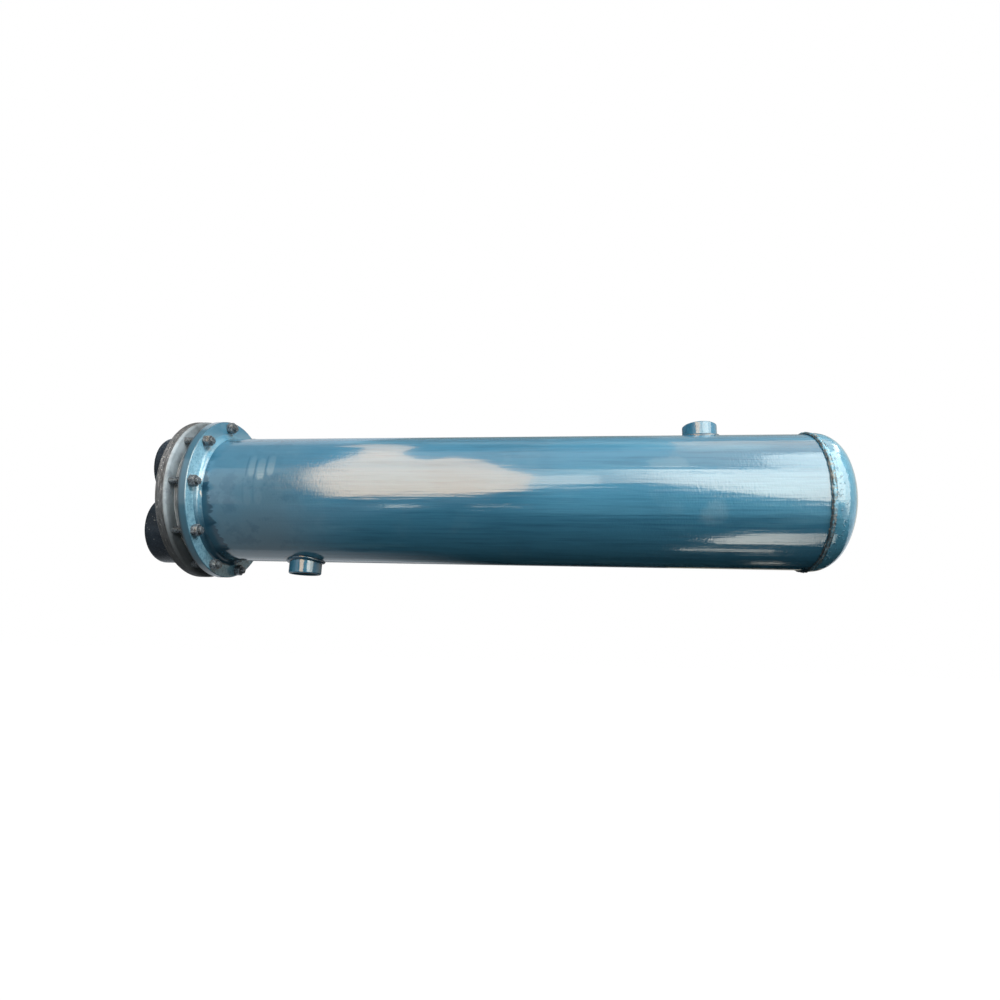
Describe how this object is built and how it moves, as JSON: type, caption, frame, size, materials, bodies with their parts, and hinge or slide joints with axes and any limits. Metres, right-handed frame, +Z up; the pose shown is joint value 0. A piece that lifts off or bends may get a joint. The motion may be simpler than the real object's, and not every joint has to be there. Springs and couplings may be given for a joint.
{
  "type": "shell and tube heat exchanger",
  "caption": "Horizontal U-tube heat exchanger: blue welded shell with a dished end, threaded shell sockets, and a bolted two-lobed channel head with two ports.",
  "frame": {"origin": "centre of the channel head's flat end face, midway between the two tube-side ports", "axes": "+X along the shell to its domed end, +Z up along the top socket"},
  "size_m": [1.1637, 0.28, 0.28],
  "materials": {
    "shell_paint": "glossy brushed-on enamel",
    "head_paint": "glossy black enamel",
    "bare_flange": "turned face, flame-cut rim",
    "tube_sheet_steel": "turned, dull",
    "gasket": "pressed fibre, matt",
    "fastener_steel": "plain dark steel",
    "cap_weld_metal": "rough weld bead, partly bare and rusty",
    "tube_brass": "dull drawn tube",
    "inner_steel": "plain plate and rod"
  },
  "bodies": {
    "root": {"head_body": "head_paint", "head_weld": "head_paint", "head_flange": "bare_flange", "head_gasket": "gasket", "tube_sheet": "tube_sheet_steel", "shell_gasket": "gasket", "shell_flange": "shell_paint", "flange_studs": "fastener_steel", "shell_side_nuts": "fastener_steel", "shell_flange_weld": "shell_paint", "shell": "shell_paint", "top_socket": "shell_paint", "top_socket_weld": "shell_paint", "bottom_socket": "shell_paint", "bottom_socket_weld": "shell_paint", "end_cap": "shell_paint", "end_cap_weld": "cap_weld_metal", "u_tubes": "tube_brass", "baffles": "inner_steel", "tie_rods": "inner_steel"}
  },
  "joints": []
}
